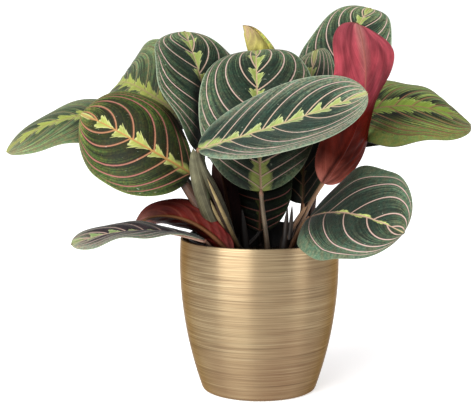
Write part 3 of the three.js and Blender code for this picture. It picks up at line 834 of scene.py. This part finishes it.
def palePatches(add, veins, look):
    # each starts at a vein pair, widens tipward and is cut off ragged before the next pair, a tooth for
    # each cross vein
    cell = add("Math", (veins["patches"],), operation="FRACT")
    rise = add("MapRange", (cell, 0.1, 0.62, 0.05, 1))
    fall = add("MapRange", (cell, 0.7, 0.96, 1, 0.05))
    toothAt = add("Math", (veins["patches"], 5))
    toothSide = add("Math", (veins["signed"],), operation="SIGN")
    toothStep = add("Math", (toothAt,), operation="FLOOR")
    toothRun = add("Math", (toothAt,), operation="FRACT")
    toothSpot = add("CombineXYZ", (toothStep, toothSide))
    toothDraw = add("TexWhiteNoise", (toothSpot,), noise_dimensions="2D")
    tooth = add("MapRange", (toothDraw, 0, 1, 0.8, 1.12))
    slope = add("MapRange", (toothRun, 0, 1, 0.72, 1.12))
    single = add("Math", (rise, fall))
    body = add("Math", (single, look["band"]), operation="MAXIMUM")
    ragged = add("Math", (tooth, slope))
    limit = add("Math", (body, ragged))
    # round the stalk the patches run together
    together = add("MapRange", (veins["along"], 0.2, 0.1))
    roundAt = add("MapRange", (veins["along"], 0, 0.05, 0.35, 1))
    joined = add("Math", (together, roundAt))
    widest = add("Math", (limit, joined), operation="MAXIMUM")
    limitWide = add("Math", (widest, veins["width"]))
    inside = add("Math", (limitWide, veins["offset"]), operation="SUBTRACT")
    softness = add("MapRange", (together, 0, 1, 0.35, 3.4))
    patchShare = add("MapRange", (inside, -0.15, softness, 0, 0.95))
    # a patch is greener inside and creamy along its ragged rim
    patchTone = add("MapRange", (veins["stripe"], 0.35, 0.65, 0.8, 1.12))
    rim = add("MapRange", (inside, 2.2, 0.3))
    patchColour = add("Mix", {0: rim, 6: look["patch"], 7: look["cream"]})
    return patchShare, add("VectorMath", {0: patchColour, 3: patchTone})


def leafTop(name, look):
    material, add, place = newMaterial("velvety leaf, upper side, " + name)
    veins = veinNodes(add)
    skin, velvet = leafSkin(add, place, veins, look)
    patchShare, patch = palePatches(add, veins, look)
    painted = add("Mix", {0: patchShare, 6: skin, 7: patch})
    # main veins, about 1.1 mm wide at the midrib and 0.8 mm near the margin, with a dark line tipward
    least = look["line"] * 0.72
    thin = add("MapRange", (veins["share"], 0, 1, look["line"], least))
    crowded = add("Math", (veins["pitch"], 0.09))
    reachOut = add("Math", (thin, crowded), operation="MINIMUM")
    lineShare = add("Math", (veins["near"], reachOut), operation="DIVIDE")
    line = add("MapRange", (lineShare, 1.3, 0.6), interpolation_type="SMOOTHSTEP")
    stopOut = add("MapRange", (veins["share"], 0.985, 0.9))
    lineFade = add("Math", (line, stopOut))
    between = add("Math", (veins["count"],), operation="FRACT")
    tipward = add("Math", (between, 0.5), operation="LESS_THAN")
    shadeNear = add("MapRange", (lineShare, 3.2, 1.3, 0, 0.65))
    shadeShare = add("Math", (shadeNear, tipward))
    shadeFade = add("Math", (shadeShare, stopOut))
    # veins are pinker near the midrib
    blush = add("MapRange", (veins["share"], 0, 0.6, 0.4, 1))
    veinTone = add("Mix", {0: blush, 6: look["rib"], 7: look["vein"]})
    # midrib and the thin pale margin
    ribWidth = add("MapRange", (veins["along"], 0, 1, 1.1, 0.35))
    ribShare = add("Math", (veins["offset"], ribWidth), operation="DIVIDE")
    rib = add("MapRange", (ribShare, 1.2, 0.6), interpolation_type="SMOOTHSTEP")
    edge = add("MapRange", (veins["share"], 0.975, 0.997, 0, 0.8))
    # dust: a bloom of specks along the margin and a few fine scratches further in
    bloomAt = add("MapRange", (veins["share"], 0.92, 0.99, 0, 0.3))
    bloomSpot = add("MapRange", (velvet, 0.46, 0.58))
    bloom = add("Math", (bloomAt, bloomSpot))
    drawnOut = add("Mapping", {0: place, 2: (0.4, 0.3, 0.7), 3: (240, 900, 900)})
    scratches = add("TexNoise", {0: drawnOut, "Scale": 1, "Detail": 1})
    dust = add("MapRange", (scratches, 0.75, 0.8, 0, 0.4))
    # all of these lie over the patched skin, one after the other
    for share, tone in ((shadeFade, look["shade"]), (lineFade, veinTone), (rib, look["rib"]),
                        (edge, look["edge"]), (bloom, look["edge"]), (dust, "b9c0ae")):
        painted = add("Mix", {0: share, 6: painted, 7: tone})
    cells = add("TexNoise", {0: place, "Scale": 1600, "Detail": 2})
    sunk = add("Math", (lineFade, -0.5, cells), operation="MULTIPLY_ADD")
    relief = add("Math", (veins["stripe"], 0.9, sunk), operation="MULTIPLY_ADD")
    bump = add("Bump", {"Strength": 0.4, "Distance": 0.0004, "Height": relief})
    rough = add("MapRange", (cells, 0.3, 0.7, 0.38, 0.55))
    return setShader(material, {
        "Base Color": shadeDeep(add, painted), "Roughness": rough, "Normal": bump, "IOR": 1.42,
        "Specular IOR Level": look["gloss"], "Sheen Weight": look["sheen"], "Sheen Roughness": 0.45,
        "Sheen Tint": "dfe8e4"})


def leafUnder(name, look):
    # the underside is smooth and wine red, a little paler along the veins that stand out of it
    material, add, place = newMaterial("leaf, underside, " + name)
    veins = veinNodes(add)
    ground = add("ValToRGB", (veins["along"],))
    setRamp(ground, look["under"])
    clouds = add("TexNoise", {0: place, "Scale": 60, "Detail": 5, "Roughness": 0.6})
    mottle = add("MapRange", (clouds, 0.3, 0.7, 0.72, 1.28))
    stripes = add("MapRange", (veins["stripe"], 0.35, 0.65, 0.85, 1.15))
    # soft creases run along it, raised in the bump and painted into the colour as light and shade, and
    # towards the tip it is paler beside the midrib
    creaseAt = add("CombineXYZ", (veins["signed"], veins["along"]))
    creasePlace = add("Mapping", {0: creaseAt, 3: (1.7, 1.9, 1)})
    crease = add("TexNoise", {0: creasePlace, "Scale": 1, "Detail": 1.5, "Distortion": 1.2})
    least, most = 1 - look["crease"], 1 + look["crease"]
    paintedCreaseShade = add("MapRange", (crease, 0.36, 0.6, least, most))
    streaks = add("Math", (mottle, stripes))
    tone = add("Math", (streaks, paintedCreaseShade))
    bloomOut = add("MapRange", (veins["offset"], 9, 1, 0, look["crease"]))
    bloomAt = add("MapRange", (veins["along"], 0.62, 0.85))
    bloomShare = add("Math", (bloomOut, bloomAt))
    bloomed = add("Mix", {0: bloomShare, 6: ground, 7: "b08a7c"})
    skin = add("VectorMath", {0: bloomed, 3: tone})
    line = add("MapRange", (veins["near"], 0.9, 0.3), interpolation_type="SMOOTHSTEP")
    soft = add("MapRange", (veins["share"], 0, 0.9, look["underLine"], 0.1))
    ribStart = add("MapRange", (veins["along"], 0.45, 0.6, look["ribLow"], 1))
    drawn = add("Math", (line, soft))
    lineFade = add("Math", (drawn, ribStart))
    veined = add("Mix", {0: lineFade, 6: skin, 7: look["underVein"]})
    ribWidth = add("MapRange", (veins["along"], 0, 1, 2, 0.7))
    ribShare = add("Math", (veins["offset"], ribWidth), operation="DIVIDE")
    rib = add("MapRange", (ribShare, 1.2, 0.5, 0, 0.85), interpolation_type="SMOOTHSTEP")
    ribFade = add("Math", (rib, ribStart))
    ribbed = add("Mix", {0: ribFade, 6: veined, 7: look["rib"]})
    # the very tip is dry and brown
    dryAt = add("MapRange", (veins["along"], 0.972, 0.98, 0, 0.9))
    dried = add("Mix", {0: dryAt, 6: ribbed, 7: "5c3c26"})
    relief = add("Math", (lineFade, 1.2, veins["stripe"]), operation="MULTIPLY_ADD")
    deep = add("Math", (crease, 20 * look["crease"], relief), operation="MULTIPLY_ADD")
    bump = add("Bump", {"Strength": 0.4, "Distance": 0.0004, "Height": deep})
    return setShader(material, {
        "Base Color": shadeDeep(add, dried), "Roughness": 0.45, "Normal": bump, "IOR": 1.42,
        "Specular IOR Level": look["gloss"] * 0.4})


def leafEdge(name, look):
    # the cut-thin margin lets light through, so it is pale
    material, add, place = newMaterial("leaf margin, " + name)
    spots = add("TexNoise", {0: place, "Scale": 300, "Detail": 2})
    tone = add("MapRange", (spots, 0.3, 0.7, 0.7, 1.1))
    pale = add("VectorMath", {0: colour(look["edge"])[:3], 3: tone})
    return setShader(material, {"Base Color": shadeDeep(add, pale), "Roughness": 0.5})


finishes = {}
for name, look in leafLooks.items():
    look = {**usualLook, **look}
    finishes[name] = leafTop(name, look), leafUnder(name, look), leafEdge(name, look)
for name, leaf in leaves.items():
    makeBlade(name, leaf, finishes[leaf["look"]])
print("leaf blades made:", len(leaves))


# stalks: each rises from its crown to its blade, thick with its sheath low down
stalkLooks = {
    "greyGreen": dict(low="3a3527", high="56543e", streak="7e7c62", joint="7c5a44"),
    "brown": dict(low="2e2119", high="5c4234", streak="8a6a54", joint="8c5c4a"),
    "green": dict(low="3a4028", high="47522c", streak="66734a", joint="7a4030"),
    "straw": dict(low="5c4c34", high="86764e", streak="a89a70", joint="9a8a60"),
    "tan": dict(low="50382a", high="8a6a4c", streak="b4906c", joint="9a7054"),
    "rosy": dict(low="5a5042", high="86765e", streak="aa9a82", joint="a07a62"),
    # umber: near black, painted shade for the stalks and sheaths deep in the middle of the plant
    "umber": dict(low="241a12", high="2c2018", streak="3e2e22", joint="241812"),
}


def stalkSkin(name, look):
    # a smooth ribbed stalk, its fibres drawn as streaks 0.6 mm wide along it
    material, add, place = newMaterial("leaf stalk, " + name)
    along = add("SeparateXYZ", (add("UVMap", uv_map="UVMap"),))
    turn = add("Math", (along.outputs["Y"], 22))
    fibrePlace = add("CombineXYZ", (turn, along.outputs["X"]))
    fibre = add("TexNoise", {0: fibrePlace, "Scale": 1, "Detail": 3})
    clouds = add("TexNoise", {0: place, "Scale": 120, "Detail": 3})
    ground = add("Mix", {0: along.outputs["X"], 6: look["low"], 7: look["high"]})
    streak = add("MapRange", (fibre, 0.5, 0.7, 0, 0.7))
    streaked = add("Mix", {0: streak, 6: ground, 7: look["streak"]})
    joint = add("MapRange", (along.outputs["X"], 0.9, 0.95))
    jointed = add("Mix", {0: joint, 6: streaked, 7: look["joint"]})
    mottle = add("MapRange", (clouds, 0.3, 0.7, 0.7, 1.25))
    spotted = add("VectorMath", {0: jointed, 3: mottle})
    bump = add("Bump", {"Strength": 0.3, "Distance": 0.0004, "Height": fibre})
    return setShader(material, {
        "Base Color": shadeDeep(add, spotted), "Roughness": 0.45, "Normal": bump,
        "Specular IOR Level": 0.2})


def stalkGuide(leaf):
    dx, dy, upright, along = leaf["stalk"][:4]
    x, y = shoots[leaf["shoot"]]["at"]
    foot = Vector((x + dx, y + dy, soilTop - 2))
    t = direction(leaf, 0)
    below = bladeRow(leaf, 0)[2] * -0.5
    head = Vector(leaf["at"])
    return foot, foot + Vector((0, 0, upright)), head - t * along + below, head + t * 1.5 + below


stalk = {"cuts": 23, "radius": 1.35, "joint": 0.45, "jointAt": 0.94, "sides": 3}


def makeStalk(leaf):
    # a curve through its guide points, cut finer, given a radius all along and made a mesh
    deselectAll()
    bpy.ops.curve.primitive_bezier_curve_add()
    made = bpy.context.object
    first, last = made.data.splines[0].bezier_points
    foot, low, high, head = [p * mm for p in stalkGuide(leaf)]
    for point in (first, last):
        point.handle_left_type = point.handle_right_type = "FREE"
    first.co, first.handle_left, first.handle_right = foot, foot, low
    last.co, last.handle_left, last.handle_right = head, high, head
    bpy.ops.object.mode_set(mode="EDIT")
    bpy.ops.curve.select_all(action="SELECT")
    bpy.ops.curve.subdivide(number_cuts=stalk["cuts"])
    bpy.ops.object.mode_set(mode="OBJECT")
    thick, swell = leaf["stalk"][4:]
    points = made.data.splines[0].bezier_points
    for k, point in enumerate(points):
        u = k / (len(points) - 1)
        radius = stalk["radius"] + (thick - stalk["radius"]) * (1 - u) ** 0.8
        radius += swell * math.exp(-((u - 0.5) / 0.22) ** 2)
        # the swollen joint that turns the leaf sits right under the blade
        radius += stalk["joint"] * math.exp(-((u - stalk["jointAt"]) / 0.035) ** 2)
        point.radius = radius - 0.5 * ease(u, 0.97, 1)
    made.data.bevel_depth = mm
    made.data.bevel_resolution = stalk["sides"]
    made.data.resolution_u = 2
    made.data.use_fill_caps = True
    bpy.ops.object.convert(target="MESH")
    applyPlace(made)
    return made


# sheaths: foot, middle and tip of each, its half width, how far it curls round, how late it tapers and
# its finish
sheaths = {
    "left": (
        ((-14, -27, 110), (-45, -28, 141), (-51.5, -68, 204), 7.8, 150, 8, "greyGreen"),
        ((-44, -45, 165), (-47, -54, 180), (-48.5, -60, 204), 3.5, 140, 3, "brown"),
        ((-42, -44, 162), (-44, -50, 176), (-46, -60, 202), 4.8, 140, 4, "green"),
        ((-25, -38, 137.5), (-34, -41, 146), (-39, -45, 161), 2.4, 120, 3, "straw"),
        ((-17, -35, 122), (-28, -46, 148), (-41, -63, 179.5), 1.6, 140, 5, "straw"),
        ((-16, -30, 118), (-30, -42, 147), (-41, -59, 181), 3.2, 120, 5, "umber"),
        ((-30, -32, 128), (-46, -30, 151), (-66, -26, 180), 4.6, 150, 8, "brown"),
    ),
    "right": (
        ((18, -24, 106), (19.5, -26, 120), (21.5, -26, 133), 4.4, 170, 8, "umber"),
        ((20, -27, 126), (20.5, -27, 138), (22, -25, 153), 2.4, 150, 3, "umber"),
        ((23.5, -27, 127), (25, -27, 140), (25.5, -25, 155), 2.0, 150, 3, "umber"),
        ((20, -27, 126), (28, -25, 140), (37, -22, 153), 2.0, 160, 6, "tan"),
    ),
    "front": (
        ((-33, -37, 106), (-35, -39, 111), (-37, -41, 117), 2.6, 150, 3, "brown"),
    ),
    "low": (
        ((-10, -4, 107), (-13, -2, 124), (-14, 0, 148), 4.0, 150, 4, "umber"),
    ),
    "middle": (
        ((7, -23, 106), (7, -24, 116), (4, -25, 134), 3.4, 160, 3, "greyGreen"),
    ),
    "back_right": (
        ((35, 12, 106), (42, 16, 130), (48, 22, 160), 3.4, 160, 3, "brown"),
    ),
    "back_left": (
        ((-42, 10, 106), (-50, 14, 132), (-58, 18, 162), 3.4, 160, 3, "greyGreen"),
    ),
    "back": (
        ((4, 38, 106), (3, 44, 130), (0, 50, 158), 3.4, 160, 3, "greyGreen"),
    ),
}


sheath = {"rows": 24, "columns": 12, "thickness": 0.45 * mm, "stalkRadius": 1.35}


def makeSheath(foot, middle, tip, width, curl, late, material):
    # a leaf base rolled round its stalk: widest low down, its free end a point
    foot, middle, tip = Vector(foot), Vector(middle), Vector(tip)
    made = addGrid(sheath["rows"], sheath["columns"])
    radius = width / math.sin(math.radians(min(curl, 180) / 2))
    for vertex in made.data.vertices:
        u, side = (vertex.co.x + 1) / 2, vertex.co.y
        along = ((middle - foot) * (1 - u) + (tip - middle) * u).normalized()
        level = along.cross(Vector((0, -1, 0))).normalized()
        out = level.cross(along).normalized()
        if out.y > 0:
            out.negate()
        centre = foot * (1 - u) ** 2 + middle * (2 * u * (1 - u)) + tip * u * u
        taper = (1 - u ** late) ** 0.8 * (0.8 + 0.2 * math.sin(math.pi * u))
        angle = math.radians(curl / 2) * side * taper
        reach = radius * (1 - sheath["stalkRadius"] / late * u)
        place = centre + level * (reach * math.sin(angle)) + out * (reach * (math.cos(angle) - 0.75))
        vertex.co = place * mm
    for corner in made.data.uv_layers[0].data:
        corner.uv.x *= 0.89  # the joint's colour starts past this
    made.data.materials.append(material)
    thicken(made, sheath["thickness"], 0)
    return made


# the short stem in the soil that the stalks come from: height over the soil and share of its radius
crown = {"sides": 24, "rings": ((-8, 1), (0, 1), (2, 1.02), (3, 0.94), (6, 0.8), (6.6, 0.84), (9, 0.55))}


def makeCrown(shoot):
    x, y = shoot["at"]
    radius = shoot["radius"] * mm
    profile = [[(soilTop + height) * mm, radius * share] for height, share in crown["rings"]]
    made = turnPiece(profile, crown["sides"], hub=False)
    made.location = (x * mm, y * mm, 0)
    applyPlace(made)
    return made


stalkFinishes = {name: stalkSkin(name, look) for name, look in stalkLooks.items()}
for name, shoot in shoots.items():
    parts = [makeStalk(leaf) for leaf in leaves.values() if leaf["shoot"] == name]
    parts.append(makeCrown(shoot))
    for part in parts:
        part.data.materials.append(stalkFinishes[shoot["look"]])
    for *shape, look in sheaths.get(name, ()):
        parts.append(makeSheath(*shape, stalkFinishes[look]))
    made = joinPieces(parts)
    bpy.ops.object.mode_set(mode="EDIT")
    bpy.ops.mesh.select_all(action="SELECT")
    bpy.ops.mesh.remove_doubles(threshold=0.01 * mm)
    faceOutward()
    smoothPiece(made, 50)
    finishPiece(made, "stems_" + name, "shoot_" + name, "stalk")
print("stems made:", len(shoots))


# pale floor and plain soft studio light: white all round at eye level, dimmer overhead but for a broad
# glow at the front left, where a soft sun comes from too
studio = {
    "floor": "fafafa",
    "horizon": (0.7, 1.15),  # at the sides and front, and behind the plant
    "band": (0.07, 0.16),  # sine of the height over the horizon between which the white ends
    "glowFrom": (-0.57, -0.78, 0.25),
    "glow": (-0.5, 0.95, 0.34, 1.15),  # from this share of facing it to that, from this light to that
    "sun": {"from": (-0.75, -0.9, 1.25), "soft": 60, "power": 1.2},
    "strip": {"distance": 1.5, "height": 0.5, "tall": 1.3},
    "strips": ((-36, 1.3, 30), (60, 0.5, 6)),  # degrees round from the camera, width and power
}


def makeFloor():
    deselectAll()
    bpy.ops.mesh.primitive_plane_add(size=30, location=(0, 0, -0.0002))
    floor = bpy.context.object
    floor.name = "floor"
    acrylic = newMaterial("opal acrylic, lit from below")[0]
    floor.data.materials.append(setShader(acrylic, {
        "Base Color": studio["floor"], "Roughness": 0.8, "Emission Color": "ffffff",
        "Emission Strength": 0.45}))


def makeLamps():
    sun = studio["sun"]
    bpy.ops.object.light_add(type="SUN")
    light = bpy.context.object
    light.rotation_euler = Vector(sun["from"]).to_track_quat("Z", "Y").to_euler()
    light.data.angle = math.radians(sun["soft"])
    light.data.energy = sun["power"]
    # tall soft strips, for the upright gleams on the metal
    strip = studio["strip"]
    for degrees, width, power in studio["strips"]:
        turn = math.radians(degrees)
        place = Vector((math.sin(turn), -math.cos(turn), 0)) * strip["distance"]
        place.z = strip["height"]
        bpy.ops.object.light_add(type="AREA", location=place)
        light = bpy.context.object
        light.rotation_euler = (place - Vector((0, 0, 0.12))).to_track_quat("Z", "Y").to_euler()
        light.data.shape = "RECTANGLE"
        light.data.size, light.data.size_y = width, strip["tall"]
        light.data.energy = power


def makeWorld():
    world = bpy.data.worlds.new("studio")
    bpy.context.scene.world = world
    world.use_nodes = True
    add = partial(addNode, world.node_tree)
    facing = add("TexCoord").outputs["Generated"]
    toGlow = add("VectorMath", (facing, studio["glowFrom"]), operation="DOT_PRODUCT")
    start, end, dim, bright = studio["glow"]
    glow = add("MapRange", (toGlow.outputs["Value"], start, end, dim, bright),
               interpolation_type="SMOOTHSTEP")
    height = add("SeparateXYZ", (facing,)).outputs["Z"]
    low, high = studio["band"]
    over = add("MapRange", (height, low, high))
    plain, white = studio["horizon"]
    away = add("SeparateXYZ", (facing,)).outputs["Y"]
    horizon = add("MapRange", (away, 0, 0.7, plain, white))
    light = add("Mix", {0: over, 2: horizon, 3: glow}, data_type="FLOAT")
    setSockets(world.node_tree.nodes["Background"], {"Color": (1, 1, 1, 1), "Strength": light})


makeFloor()
makeLamps()
makeWorld()
bpy.context.scene.view_settings.view_transform = "Standard"
print("studio made")
